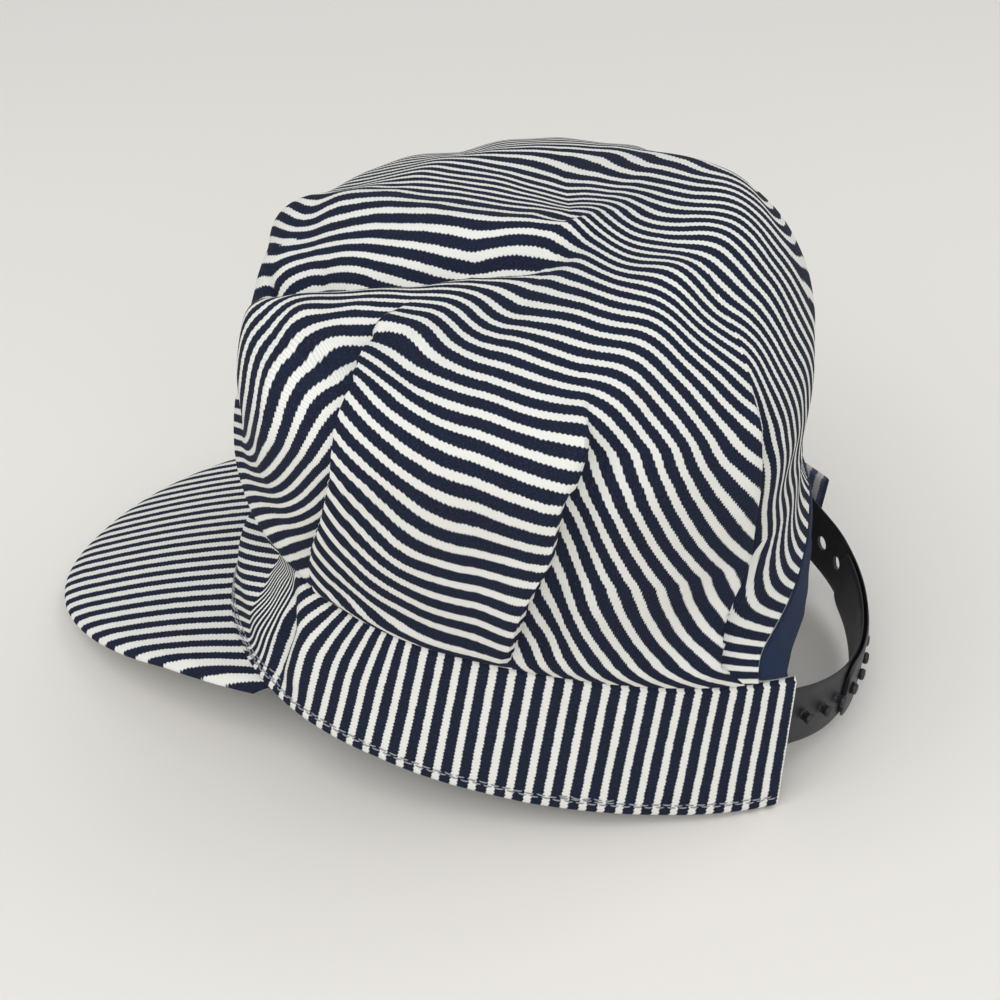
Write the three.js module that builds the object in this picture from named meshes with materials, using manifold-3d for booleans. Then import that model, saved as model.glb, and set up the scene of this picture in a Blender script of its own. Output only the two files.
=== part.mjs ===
// Engineer cap: a pleated crown on a tall band, an arched peak, a bound rear arch and a snap strap.
// Millimetres, +Z up. The peak points to -Y and the wearer's left side is +X.
import * as THREE from "three";
import { mergeVertices } from "three/addons/utils/BufferGeometryUtils.js";
import Module from "manifold-3d";

// Driving dimensions
const TILT = THREE.MathUtils.degToRad(8.8); // the cap leans back on the rear of its hem
const HEM = { front: 84, back: 117, side: 81.5, power: 2.2 }; // half lengths of the hem oval
const TOP = { front: 76, back: 114, side: 79, power: 2.2 }; // and of the band's top edge
const BAND_HEIGHT = 42;
const BAND_WALL = 2.2;
const CROWN_WALL = 1.6;
const GAP = 0.3; // between neighbouring pieces
const BAND_END = { near: 136, far: -144 }; // degrees round the oval, 0 at the front

// Arch opening at the back: its middle and half width in degrees, its height as a share of the crown
const ARCH = { middle: 179, half: 46, height: 0.15, power: 2.2 };

// Tape along the arch: how far it reaches in from the edge, how far under the edge it starts and how
// far its free edge curls inwards at the top, and how high over the seam its ends stop, as a share of
// the crown
const BINDING = { width: 9, wall: 1.5, clearance: 0.6, curl: 6, foot: 0.014 };

// Peak: the degrees round the hem where it starts and ends, its reach from the line between them,
// how far it drops for each millimetre outwards, how much it swells between root and rim, and how
// far its root lies inside and under the hem
const PEAK = {
  near: 46,
  far: -72,
  reach: 101,
  power: 2.25,
  slope: 0.48,
  swell: 2,
  wall: 2.6,
  lap: 2,
  drop: 0.6,
};

// Snap strap: two overlapping halves of moulded plastic. The middle line is in heights over the hem,
// places along it are measured from the middle of the back, and the near side is positive.
const STRAP = {
  width: 20.5,
  wall: 1.2,
  middle: 17.5,
  riseNear: 9.5,
  riseFar: 14,
  tuck: 4,
  root: 80,
  lapNear: 33.5,
  lapFar: -33.5,
  crossFrom: -58,
  crossTo: -37.5,
  tipLength: 5,
  tipWidth: 0.6,
};
const PEG = { pitch: 9.5, radius: 1.9, height: 3.4, clearance: 0.35, near: 6, far: -6, sides: 10 };
const HOLE_REACH = { inwards: 4, outwards: 6 }; // how far a hole's cutter passes the strap

// Crown sections from the seam to the top: heights over the ground at the front, sides and back,
// half sizes in plan, and the squareness of the oval.
const SECTIONS = [
  { v: 0.15, zFront: 88, zSide: 82, zBack: 64, yFront: -72, yBack: 93, xSide: 86, yMid: 8, power: 2.2 },
  { v: 0.32, zFront: 107, zSide: 106, zBack: 90, yFront: -70, yBack: 88, xSide: 91, yMid: 8, power: 2.3 },
  { v: 0.45, zFront: 123, zSide: 126, zBack: 112, yFront: -69, yBack: 89, xSide: 93, yMid: 8, power: 2.35 },
  { v: 0.56, zFront: 135, zSide: 139, zBack: 130, yFront: -66, yBack: 87, xSide: 86, yMid: 8, power: 2.3 },
  { v: 0.7, zFront: 141, zSide: 146, zBack: 149, yFront: -54, yBack: 77, xSide: 67, yMid: 9, power: 2.2 },
  { v: 0.84, zFront: 147, zSide: 148, zBack: 161, yFront: -36, yBack: 60, xSide: 43, yMid: 13, power: 2.1 },
  { v: 1.0, zFront: 152, zSide: 152, zBack: 152, yFront: 20, yBack: 20, xSide: 0, yMid: 20, power: 2 },
];

// Folds, puffs and pleats: each follows places on the cloth (degrees from the front, share of the way
// up its piece), with its half width and how far it lifts the cloth, in millimetres. A step sinks the
// side ahead of the line and lifts the side behind it, and so makes the lip of a pleat.
const CROWN_FOLDS = [
  { name: "valley", path: [[16, 0.53], [37, 0.69], [63, 0.85], [98, 0.9]], half: 8, push: -5, step: 0 },
  { name: "puff", path: [[5, 0.6], [10, 0.8], [40, 0.9], [90, 0.96]], half: 11, push: 4, step: 0 },
  { name: "pleat 1", path: [[67, 0.69], [70, 0.52], [65, 0.38], [53, 0.03]], half: 8, push: 0, step: -2.2 },
  { name: "pleat 2", path: [[107, 0.53], [102, 0.41], [99, 0.22], [93, 0.02]], half: 9, push: 0, step: 2.6 },
  { name: "pleat 3", path: [[138, 0.56], [144, 0.3], [135, 0.17], [130, 0.06]], half: 8, push: 0, step: 2.2 },
  { name: "ridge", path: [[107, 0.55], [117, 0.67], [133, 0.81]], half: 9, push: 2.5, step: 0 },
  { name: "far pleat 1", path: [[-67, 0.66], [-66, 0.4], [-54, 0.03]], half: 8, push: 0, step: 2 },
  { name: "far pleat 2", path: [[-104, 0.55], [-100, 0.3], [-95, 0.02]], half: 9, push: 0, step: -2.4 },
  { name: "far pleat 3", path: [[-141, 0.55], [-143, 0.3], [-134, 0.06]], half: 8, push: 0, step: -2 },
];
const BAND_FOLDS = [
  { name: "crease", path: [[18, 0.95], [33, 0.82], [47, 0.6], [52, 0.1]], half: 6, push: -2.4, step: 0 },
  { name: "bulge", path: [[8, 0.55], [26, 0.45], [38, 0.25]], half: 9, push: 2.4, step: 0 },
];
const ROUND_SCALE = 85; // millimetres per radian round the crown
const RISE_SCALE = 170; // millimetres from the seam to the top
const SEAM_LIFT = 0.005; // share of the crown left free over the band for the gap
const FLAT_SEAM = 0.08; // share of the crown over which the folds fade out at the seam
const FLAT_TOP = 0.93; // and from where they fade out at the top
const FOLD_STEPS = 12; // points between two places of a fold's path
const STEP_SOFTNESS = THREE.MathUtils.degToRad(1.2); // how sharply a pleat's lip turns

// Facets: columns and rows of each piece's grid
const CROWN_GRID = { wall: 60, arch: 20, rows: 19 };
const BAND_GRID = { columns: 61, rows: 7 };
const BINDING_ROWS = 4;
const PEAK_GRID = { columns: 37, rows: 8 };
const PEAK_TIP = 0.02; // share of the peak's root left off at each corner
const STRAP_GRID = { columns: 29, rows: 3 };
const ARC_STEP = 0.5; // degrees between the measured places of the back of the hem

const DENIM = "#6b7280";
const TWILL = "#1f335c";
const MOULDED = "#23252e";

const radians = THREE.MathUtils.degToRad;

// The point of a level oval at an angle from the front
function ovalPoint(oval, angle) {
  const along = Math.cos(angle);
  const across = Math.sin(angle);
  const reach = along > 0 ? oval.front : oval.back;
  const x = oval.side * Math.sign(across) * Math.abs(across) ** (2 / oval.power);
  const y = -reach * Math.sign(along) * Math.abs(along) ** (2 / oval.power);
  return new THREE.Vector2(x, y);
}

// Leans a point of the level cap back about the rear of the hem
function lean(point) {
  const y = point.y - HEM.back;
  return new THREE.Vector3(
    point.x,
    HEM.back + y * Math.cos(TILT) + point.z * Math.sin(TILT),
    point.z * Math.cos(TILT) - y * Math.sin(TILT),
  );
}

// The band's outer face: angle round the oval and share of its height
function bandPoint(angle, share) {
  const low = ovalPoint(HEM, angle);
  const high = ovalPoint(TOP, angle);
  const plan = low.lerp(high, share);
  return lean(new THREE.Vector3(plan.x, plan.y, share * BAND_HEIGHT));
}

// The crown's first section is the band's top edge, worked out from the band
function seamSection() {
  const front = bandPoint(0, 1);
  const back = bandPoint(Math.PI, 1);
  const side = bandPoint(Math.PI / 2, 1);
  return {
    v: 0,
    zFront: front.z,
    zSide: side.z,
    zBack: back.z,
    yFront: front.y,
    yBack: back.y,
    xSide: side.x,
    yMid: side.y,
    power: TOP.power,
  };
}
const CROWN_ROWS = [seamSection(), ...SECTIONS];

// A section between the rows, each column following a smooth curve through its neighbours
function sectionAt(v) {
  const last = CROWN_ROWS.length - 1;
  let i = CROWN_ROWS.findIndex((row) => row.v > v) - 1;
  if (i < 0) i = last - 1;
  const here = CROWN_ROWS[i];
  const next = CROWN_ROWS[i + 1];
  const before = CROWN_ROWS[Math.max(i - 1, 0)];
  const after = CROWN_ROWS[Math.min(i + 2, last)];
  const span = next.v - here.v;
  const t = (v - here.v) / span;
  const section = {};
  for (const key of Object.keys(here)) {
    const slopeHere = ((next[key] - before[key]) / (next.v - before.v)) * span;
    const slopeNext = ((after[key] - here[key]) / (after.v - here.v)) * span;
    section[key] =
      (2 * t ** 3 - 3 * t ** 2 + 1) * here[key] +
      (t ** 3 - 2 * t ** 2 + t) * slopeHere +
      (3 * t ** 2 - 2 * t ** 3) * next[key] +
      (t ** 3 - t ** 2) * slopeNext;
  }
  return section;
}

function smoothCrown(angle, v) {
  const section = sectionAt(v);
  const along = Math.cos(angle);
  const across = Math.sin(angle);
  const share = Math.abs(along) ** (2 / section.power);
  const end = along > 0 ? section.yFront : section.yBack;
  const endHeight = along > 0 ? section.zFront : section.zBack;
  return new THREE.Vector3(
    section.xSide * Math.sign(across) * Math.abs(across) ** (2 / section.power),
    section.yMid + (end - section.yMid) * share,
    section.zSide + (endHeight - section.zSide) * share,
  );
}

// Each fold's line over its surface, as points with the angle they stand at
const foldLines = new Map();
function foldLine(fold, surface) {
  if (!foldLines.has(fold)) {
    const line = [];
    for (let i = 0; i < fold.path.length - 1; i += 1) {
      const [fromDegrees, fromShare] = fold.path[i];
      const [toDegrees, toShare] = fold.path[i + 1];
      for (let j = 0; j <= FOLD_STEPS; j += 1) {
        const t = j / FOLD_STEPS;
        const angle = radians(THREE.MathUtils.lerp(fromDegrees, toDegrees, t));
        line.push({ angle, point: surface(angle, THREE.MathUtils.lerp(fromShare, toShare, t)) });
      }
    }
    foldLines.set(fold, line);
  }
  return foldLines.get(fold);
}

// How far the folds lift a surface at a place
function foldHeight(folds, surface, angle, point) {
  let height = 0;
  for (const fold of folds) {
    let nearest = null;
    let distance = Infinity;
    for (const place of foldLine(fold, surface)) {
      const away = place.point.distanceTo(point);
      if (away < distance) {
        distance = away;
        nearest = place;
      }
    }
    const fade = Math.exp(-((distance / fold.half) ** 2));
    height += fade * (fold.push - fold.step * Math.tanh((angle - nearest.angle) / STEP_SOFTNESS));
  }
  return height;
}

function normalOf(surface, angle, v) {
  const step = 1e-3;
  const round = surface(angle + step, v).sub(surface(angle - step, v));
  const up = surface(angle, Math.min(v + step, 1)).sub(surface(angle, Math.max(v - step, 0)));
  return round.cross(up).normalize();
}

// The crown's outer face with its folds, which fade out at the seam and at the top
function crownPoint(angle, v) {
  const fromSeam = THREE.MathUtils.smoothstep(v, 0, FLAT_SEAM);
  const fromTop = 1 - THREE.MathUtils.smoothstep(v, FLAT_TOP, 1);
  const normal = normalOf(smoothCrown, angle, THREE.MathUtils.clamp(v, 0.002, 0.99));
  const point = smoothCrown(angle, v);
  const lift = foldHeight(CROWN_FOLDS, smoothCrown, angle, point) * fromSeam * fromTop;
  return point.addScaledVector(normal, lift);
}

// The band's outer face with its buckle, which fades out at both edges
function bandFace(angle, share) {
  const point = bandPoint(angle, share);
  const normal = normalOf(bandPoint, angle, share);
  const lift = foldHeight(BAND_FOLDS, bandPoint, angle, point) * Math.sin(Math.PI * share);
  return point.addScaledVector(normal, lift);
}

// The arch as a curve on the crown, a little inside its edge: where it stands at a turn from the
// near foot, over the top, to the far foot
function archPlace(turn, inside) {
  const half = radians(ARCH.half) - inside / ROUND_SCALE;
  const height = ARCH.height - inside / RISE_SCALE;
  const along = Math.cos(turn);
  const rise = Math.max(Math.sin(turn), 0);
  return [
    radians(ARCH.middle) - half * Math.sign(along) * Math.abs(along) ** (2 / ARCH.power),
    SEAM_LIFT + height * rise ** (2 / ARCH.power),
  ];
}

// A closed shell between an outer and an inner grid of points. Rows run upwards, columns round.
// With around, the columns close on themselves; with a peak, the last row is one point.
function shellGeometry(outer, inner, around, pointed) {
  const rows = outer.length;
  const columns = outer[0].length;
  const positions = [];
  const index = [];
  const sides = [outer, inner].map((grid) =>
    grid.map((row, r) => {
      const single = pointed && r === rows - 1;
      const ids = (single ? [row[0]] : row).map((p) => {
        positions.push(p.x, p.y, p.z);
        return positions.length / 3 - 1;
      });
      return single ? row.map(() => ids[0]) : ids;
    }),
  );
  const quad = (a, b, c, d) => {
    if (a !== b && b !== c && a !== c) index.push(a, b, c);
    if (a !== c && c !== d && a !== d) index.push(a, c, d);
  };
  const [out, into] = sides;
  const steps = around ? columns : columns - 1;
  for (let c = 0; c < steps; c += 1) {
    const d = (c + 1) % columns;
    for (let r = 0; r < rows - 1; r += 1) {
      quad(out[r][c], out[r][d], out[r + 1][d], out[r + 1][c]);
      quad(into[r][d], into[r][c], into[r + 1][c], into[r + 1][d]);
    }
    quad(out[0][d], out[0][c], into[0][c], into[0][d]);
    if (!pointed) quad(out[rows - 1][c], out[rows - 1][d], into[rows - 1][d], into[rows - 1][c]);
  }
  if (!around) {
    for (let r = 0; r < rows - 1; r += 1) {
      quad(out[r][0], out[r + 1][0], into[r + 1][0], into[r][0]);
      quad(out[r + 1][columns - 1], out[r][columns - 1], into[r][columns - 1], into[r + 1][columns - 1]);
    }
  }
  const geometry = new THREE.BufferGeometry();
  geometry.setAttribute("position", new THREE.Float32BufferAttribute(positions, 3));
  geometry.setIndex(index);
  geometry.computeVertexNormals();
  return geometry;
}

const range = (count, from, to) =>
  Array.from({ length: count }, (_, i) => from + ((to - from) * i) / (count - 1));

// The outer and inner grids of a wall that stands at a grid of surface places
function wallGrids(surface, places, wall) {
  const grid = (depth) =>
    places.map((row) =>
      row.map(([a, v]) => surface(a, v).addScaledVector(normalOf(surface, a, v), -depth)),
    );
  return [grid(0), grid(wall)];
}

function crownGeometry() {
  const feet = [archPlace(0, 0)[0], archPlace(Math.PI, 0)[0] - 2 * Math.PI];
  const walls = range(CROWN_GRID.wall + 1, feet[1], feet[0])
    .slice(1, -1)
    .map((a) => [a, SEAM_LIFT]);
  const arch = range(CROWN_GRID.arch + 1, 0, Math.PI).map((turn) => archPlace(turn, 0));
  const lower = [...walls, ...arch];
  const places = range(CROWN_GRID.rows, 0, 1).map((t) =>
    lower.map(([a, low]) => [a, low + (1 - low) * t]),
  );
  const [outer, inner] = wallGrids(crownPoint, places, CROWN_WALL);
  return shellGeometry(outer, inner, true, true);
}

function bandGeometry() {
  const angles = range(BAND_GRID.columns, radians(BAND_END.far), radians(BAND_END.near));
  const places = range(BAND_GRID.rows, 0, 1).map((share) => angles.map((a) => [a, share]));
  const [outer, inner] = wallGrids(bandFace, places, BAND_WALL);
  return shellGeometry(outer, inner, false, false);
}

function bindingGeometry() {
  const foot = Math.asin((BINDING.foot / ARCH.height) ** (ARCH.power / 2));
  const turns = range(CROWN_GRID.arch + 1, 0, Math.PI).map((turn) =>
    THREE.MathUtils.clamp(turn, foot, Math.PI - foot),
  );
  const grid = (depth) =>
    range(BINDING_ROWS, BINDING.width, BINDING.clearance).map((inside) =>
      turns.map((turn) => {
        const [angle, v] = archPlace(turn, inside);
        const curl = BINDING.curl * (inside / BINDING.width) ** 2 * Math.sin(turn) ** 2;
        return crownPoint(angle, v).addScaledVector(normalOf(crownPoint, angle, v), -depth - curl);
      }),
    );
  return shellGeometry(grid(0), grid(BINDING.wall), false, false);
}

// The peak's upper face: share across from the near root to the far root, and share outwards.
// Its root runs under the hem; its rim is a flattened oval on the line between the roots.
function peakPoint(across, out) {
  const near = ovalPoint(HEM, radians(PEAK.near));
  const far = ovalPoint(HEM, radians(PEAK.far));
  const root = ovalPoint(HEM, radians(THREE.MathUtils.lerp(PEAK.near, PEAK.far, across)));
  root.setLength(root.length() - PEAK.lap);
  const middle = near.clone().add(far).multiplyScalar(0.5);
  const half = near.clone().sub(middle);
  const ahead = new THREE.Vector2(half.y, -half.x).setLength(PEAK.reach);
  const turn = across * Math.PI;
  const wide = Math.sign(Math.cos(turn)) * Math.abs(Math.cos(turn)) ** (2 / PEAK.power);
  const long = Math.max(Math.sin(turn), 0) ** (2 / PEAK.power);
  const rim = middle.addScaledVector(half, wide).addScaledVector(ahead, long);
  const fall = rim.distanceTo(root) * PEAK.slope;
  const plan = root.lerp(rim, out);
  const height = PEAK.swell * Math.sin(Math.PI * out) * long - fall * out - PEAK.drop;
  return lean(new THREE.Vector3(plan.x, plan.y, height));
}

function peakGeometry() {
  const columns = range(PEAK_GRID.columns, PEAK_TIP, 1 - PEAK_TIP);
  const top = range(PEAK_GRID.rows, 0, 1).map((out) => columns.map((across) => peakPoint(across, out)));
  const down = new THREE.Vector3(0, 0, -PEAK.wall);
  const under = top.map((row) => row.map((p) => p.clone().add(down)));
  return shellGeometry(top, under, false, false);
}

// Angles round the hem at equal steps along it, from the middle of the back
const backArc = (() => {
  const table = [];
  let length = 0;
  let last = ovalPoint(HEM, Math.PI);
  for (let degrees = 180; degrees > 60; degrees -= ARC_STEP) {
    const point = ovalPoint(HEM, radians(degrees));
    length += point.distanceTo(last);
    last = point;
    table.push([length, radians(degrees)]);
  }
  return table;
})();
function angleAtArc(arc) {
  const length = Math.abs(arc);
  const i = Math.max(backArc.findIndex(([reached]) => reached >= length), 1);
  const [lowArc, lowAngle] = backArc[i - 1];
  const [highArc, highAngle] = backArc[i];
  const off = Math.PI - THREE.MathUtils.mapLinear(length, lowArc, highArc, lowAngle, highAngle);
  return Math.PI - Math.sign(arc) * off;
}

// The strap's outer face at a distance round the back and a height over its own middle line
function strapPoint(arc, up, depth) {
  const angle = angleAtArc(arc);
  const rise = arc > 0 ? STRAP.riseNear : STRAP.riseFar;
  const share = (STRAP.middle + rise * (arc / STRAP.root) ** 2 + up) / BAND_HEIGHT;
  const tuck = STRAP.tuck * (1 - (arc / STRAP.root) ** 2);
  return bandPoint(angle, share).addScaledVector(normalOf(bandPoint, angle, share), -depth - tuck);
}
const UNDER_BAND = BAND_WALL + GAP;

function strapGeometry(from, to, depthAt) {
  const arcs = range(STRAP_GRID.columns, from, to);
  const ups = range(STRAP_GRID.rows, -STRAP.width / 2, STRAP.width / 2);
  const roundTip = (arc) => {
    const left = Math.min(Math.abs(arc - to) / STRAP.tipLength, 1);
    return STRAP.tipWidth + (1 - STRAP.tipWidth) * Math.sqrt(1 - (1 - left) ** 2);
  };
  const grid = (extra) =>
    ups.map((up) => arcs.map((arc) => strapPoint(arc, up * roundTip(arc), depthAt(arc) + extra)));
  const [outer, inner] = [grid(0), grid(STRAP.wall)];
  if (from > to) return shellGeometry(outer, inner, false, false);
  return shellGeometry(inner, outer, false, false);
}

const wasm = await Module();
wasm.setup();
function solid(geometry) {
  const bare = geometry.clone();
  bare.deleteAttribute("normal");
  bare.deleteAttribute("uv");
  const merged = mergeVertices(bare, 1e-4);
  return new wasm.Manifold(
    new wasm.Mesh({
      numProp: 3,
      vertProperties: merged.attributes.position.array,
      triVerts: new Uint32Array(merged.index.array),
    }),
  );
}
function geometryOf(made) {
  const mesh = made.getMesh();
  const geometry = new THREE.BufferGeometry();
  geometry.setAttribute("position", new THREE.BufferAttribute(mesh.vertProperties, 3));
  geometry.setIndex(new THREE.BufferAttribute(mesh.triVerts, 1));
  geometry.computeVertexNormals();
  return geometry;
}

// A round post square to the strap at a peg's place, from one depth to another
function post(place, radius, from, to) {
  const arc = place * PEG.pitch;
  const start = strapPoint(arc, 0, from);
  const end = strapPoint(arc, 0, to);
  const cylinder = new THREE.CylinderGeometry(radius, radius, start.distanceTo(end), PEG.sides);
  const turn = new THREE.Quaternion().setFromUnitVectors(
    new THREE.Vector3(0, 1, 0),
    end.clone().sub(start).normalize(),
  );
  cylinder.applyQuaternion(turn);
  const centre = start.add(end).multiplyScalar(0.5);
  cylinder.translate(centre.x, centre.y, centre.z);
  return solid(cylinder);
}

// The half with the holes lies outside the half with the pegs where they overlap
const nearDepth = () => UNDER_BAND;
const farDepth = (arc) => {
  const crossed = THREE.MathUtils.smoothstep(arc, STRAP.crossFrom, STRAP.crossTo);
  return UNDER_BAND - (STRAP.wall + GAP) * crossed;
};

function pegStrapGeometry() {
  let made = solid(strapGeometry(STRAP.root, STRAP.lapFar, nearDepth));
  for (let place = Math.ceil(STRAP.lapFar / PEG.pitch); place <= PEG.near; place += 1) {
    const peg = post(place, PEG.radius, UNDER_BAND + STRAP.wall / 2, UNDER_BAND - PEG.height);
    made = made.add(peg);
  }
  return geometryOf(made);
}

function holeStrapGeometry() {
  let made = solid(strapGeometry(-STRAP.root, STRAP.lapNear, farDepth));
  const inwards = UNDER_BAND + HOLE_REACH.inwards;
  const outwards = UNDER_BAND - HOLE_REACH.outwards;
  for (let place = Math.floor(STRAP.lapNear / PEG.pitch); place >= PEG.far; place -= 1)
    made = made.subtract(post(place, PEG.radius + PEG.clearance, inwards, outwards));
  return geometryOf(made);
}

function piece(name, geometry, color, roughness) {
  const mesh = new THREE.Mesh(
    geometry,
    new THREE.MeshStandardMaterial({ color, roughness, metalness: 0 }),
  );
  mesh.name = name;
  return mesh;
}

const cap = new THREE.Group();
cap.add(piece("crown", crownGeometry(), DENIM, 0.9));
cap.add(piece("band", bandGeometry(), DENIM, 0.9));
cap.add(piece("peak", peakGeometry(), DENIM, 0.9));
cap.add(piece("arch_binding", bindingGeometry(), TWILL, 0.9));
cap.add(piece("strap_pegs", pegStrapGeometry(), MOULDED, 0.4));
cap.add(piece("strap_holes", holeStrapGeometry(), MOULDED, 0.4));

// The origin is under the middle of the whole cap, on the surface that it rests on
const size = new THREE.Box3().setFromObject(cap, true);
const middle = size.getCenter(new THREE.Vector3());
cap.position.set(-middle.x, -middle.y, -size.min.z);
const engineerCap = new THREE.Group();
engineerCap.add(cap);

export default engineerCap;
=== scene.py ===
"""An engineer cap of striped denim: a pleated crown, a tall band, a stiff peak and a snap strap."""

import math

import bpy
import numpy as np
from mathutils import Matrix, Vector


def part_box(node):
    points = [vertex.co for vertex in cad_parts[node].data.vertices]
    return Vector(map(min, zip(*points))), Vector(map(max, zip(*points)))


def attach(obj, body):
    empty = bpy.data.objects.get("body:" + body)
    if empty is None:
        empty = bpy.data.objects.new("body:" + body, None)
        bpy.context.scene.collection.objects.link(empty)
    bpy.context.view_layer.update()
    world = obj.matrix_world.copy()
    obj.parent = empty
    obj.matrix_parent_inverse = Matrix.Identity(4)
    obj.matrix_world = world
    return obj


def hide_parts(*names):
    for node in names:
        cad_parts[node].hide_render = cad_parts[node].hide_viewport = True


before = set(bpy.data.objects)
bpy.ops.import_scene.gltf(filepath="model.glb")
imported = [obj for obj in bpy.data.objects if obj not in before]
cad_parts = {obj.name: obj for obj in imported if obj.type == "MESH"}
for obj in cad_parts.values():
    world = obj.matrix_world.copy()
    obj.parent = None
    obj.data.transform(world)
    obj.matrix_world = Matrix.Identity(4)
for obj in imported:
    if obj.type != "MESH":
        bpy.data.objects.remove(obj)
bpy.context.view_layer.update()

# Band
# Two layers of striped denim, sewn round the foot of the crown and turned under at the hem. It stands
# open at the back between its two ends, and has buckled at the front over the peak's near corner.
MM = 0.001
TILT = math.radians(8.8)  # the cap leans back on the rear of its hem
HEM = {"front": 84, "back": 117, "side": 81.5, "power": 2.2}  # half lengths of the oval, in mm
BAND_TOP = {"front": 76, "back": 114, "side": 79, "power": 2.2}
BAND_HEIGHT = 42
BAND_WALL = 2.2
BAND_ENDS = (-144, 136)  # degrees round the oval from the front, the near side positive
BAND_GRID = {"columns": 460, "rows": 34}
REPEAT = 5.2  # mm from one white stripe to the next
FIRST_STRIPE = 73.3  # mm round the hem from the middle of the back to the first near white stripe
# Lines on the band that it has buckled along: degrees and share of the height, then the half width of
# the fold and how far it lifts the cloth, both in mm
BAND_FOLDS = [
    {"path": [(13, 0.69), (26, 0.83), (36, 0.93), (43, 0.92), (47, 0.6), (47, 0.15)],
     "half": 3.5, "push": -3.4},
    {"path": [(8, 0.45), (24, 0.5), (37, 0.4)], "half": 8, "push": 2.2},
    {"path": [(51, 0.9), (54, 0.6), (53, 0.3)], "half": 6, "push": 2.2},
]
# Ahead of the near corner the stripes lie over backwards, more so above the crease, and behind the
# corner they hook backwards at the top: mm of shift for each mm up, and the hook in mm
BUCKLE = {"crease": [(13, 0.69), (26, 0.83), (36, 0.93), (45, 0.97)], "below": 1.5, "above": 5, "hook": -9}
BUCKLE_ENDS = (35, 44)  # degrees over which the lie ahead of the corner fades out
HOOK_ENDS = (36, 46, 56, 76)  # degrees over which the hook comes in and goes out
HOOK_FROM = 0.5  # share of the height above which the stripes hook
# Towards its near end the hem sags and flares outwards: degrees, and mm at the hem itself
HEM_SAG = {"angles": (75, 98, 116, 136), "drops": (0, 3.2, 3.2, 1.1), "flares": (0, 0, 0.5, 4.5)}
BAND_UNEVEN = {"lift": 0.5, "size": 30}  # mm by which the band is uneven, over so many mm
PLEAT_SOFTNESS = math.radians(0.35)  # how sharply the lip of a pleat turns


def oval(half, angle):
    """Flattened oval from above: side * |sin|^(2/p) across and reach * |cos|^(2/p) along, signs kept."""
    along, across = np.cos(angle), np.sin(angle)
    reach = np.where(along > 0, half["front"], half["back"])
    power = 2 / half["power"]
    x = half["side"] * np.sign(across) * np.abs(across) ** power
    y = -reach * np.sign(along) * np.abs(along) ** power
    return x, y


def lean(x, y, z):
    """Points of the level cap turned back by TILT about the rear of the hem."""
    behind = y - HEM["back"]
    high = z * math.cos(TILT) - behind * math.sin(TILT)
    return np.stack([x, HEM["back"] + behind * math.cos(TILT) + z * math.sin(TILT), high], -1)


def band_plain(angle, share):
    """Straight lines up from the hem's oval to the top edge's oval."""
    low_x, low_y = oval(HEM, angle)
    top_x, top_y = oval(BAND_TOP, angle)
    height = share * BAND_HEIGHT
    return lean(low_x + (top_x - low_x) * share, low_y + (top_y - low_y) * share, height)


def normals(surface, angle, share):
    """Unit outward normals: a small step round the surface crossed with a small step up it."""
    step = 1e-3
    around = surface(angle + step, share) - surface(angle - step, share)
    up = surface(angle, share + step) - surface(angle, share - step)
    out = np.cross(around, up)
    return out / np.linalg.norm(out, axis=-1, keepdims=True)


def fold_lift(folds, surface, angle, points):
    """Sum over the folds of fade * (push - step * tanh(angle past the line / softness)).

    fade is exp(-(d / half)^2), with d the distance to the fold's line over the surface. The angle that is
    past or short of a line is that of the cloth, also where a pleat's side runs on over the line."""
    lift = np.zeros(angle.shape)
    for fold in folds:
        path = np.array(fold["path"], float)
        t = np.linspace(0, len(path) - 1, 12 * (len(path) - 1) + 1)
        line_angle = np.radians(np.interp(t, np.arange(len(path)), path[:, 0]))
        line = surface(line_angle, np.interp(t, np.arange(len(path)), path[:, 1]))
        nearest = np.full(angle.shape, np.inf)
        at = np.zeros(angle.shape)
        for place, here in zip(line, line_angle):
            away = np.linalg.norm(points - place, axis=-1)
            closer = away < nearest
            nearest = np.where(closer, away, nearest)
            at = np.where(closer, here, at)
        side = np.tanh((angle - at) / PLEAT_SOFTNESS)
        lift += np.exp(-((nearest / fold["half"]) ** 2)) * (fold.get("push", 0) - fold.get("step", 0) * side)
    return lift


def ripple(points, size, seed):
    """Soft unevenness of hand-sewn cloth: the mean of eight sine waves of random direction and phase."""
    random = np.random.default_rng(seed)
    total = np.zeros(points.shape[:-1])
    for _ in range(8):
        direction = random.normal(size=3)
        direction *= 2 * math.pi / size / np.linalg.norm(direction) * random.uniform(0.7, 1.4)
        total += np.sin(points @ direction + random.uniform(0, 2 * math.pi))
    return total / 8


def band_face(angle, share):
    """The plain band, lifted along its normals by its folds, which fade out at both edges.

    The near side's hem sags and flares by HEM_SAG, less and less up the band and towards the front."""
    points = band_plain(angle, share)
    turn = np.degrees(angle)
    drop = np.interp(turn, HEM_SAG["angles"], HEM_SAG["drops"])
    flare = np.interp(turn, HEM_SAG["angles"], HEM_SAG["flares"])
    points[..., 2] -= drop * (1 - share)
    fade = np.sin(math.pi * np.clip(share, 0, 1))
    lift = fold_lift(BAND_FOLDS, band_plain, angle, points) * fade
    lift += BAND_UNEVEN["lift"] * ripple(points, BAND_UNEVEN["size"], 1) * fade + flare * (1 - share)
    return points + normals(band_plain, angle, share) * lift[..., None]


def hem_arc(angle):
    """Length of the hem from the middle of the back round the near side to an angle, in mm."""
    turns = np.radians(np.linspace(-180, 180, 7201))
    x, y = oval(HEM, turns)
    length = np.concatenate([[0], np.cumsum(np.hypot(np.diff(x), np.diff(y)))])
    return length[-1] - np.interp(angle, turns, length)


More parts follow.
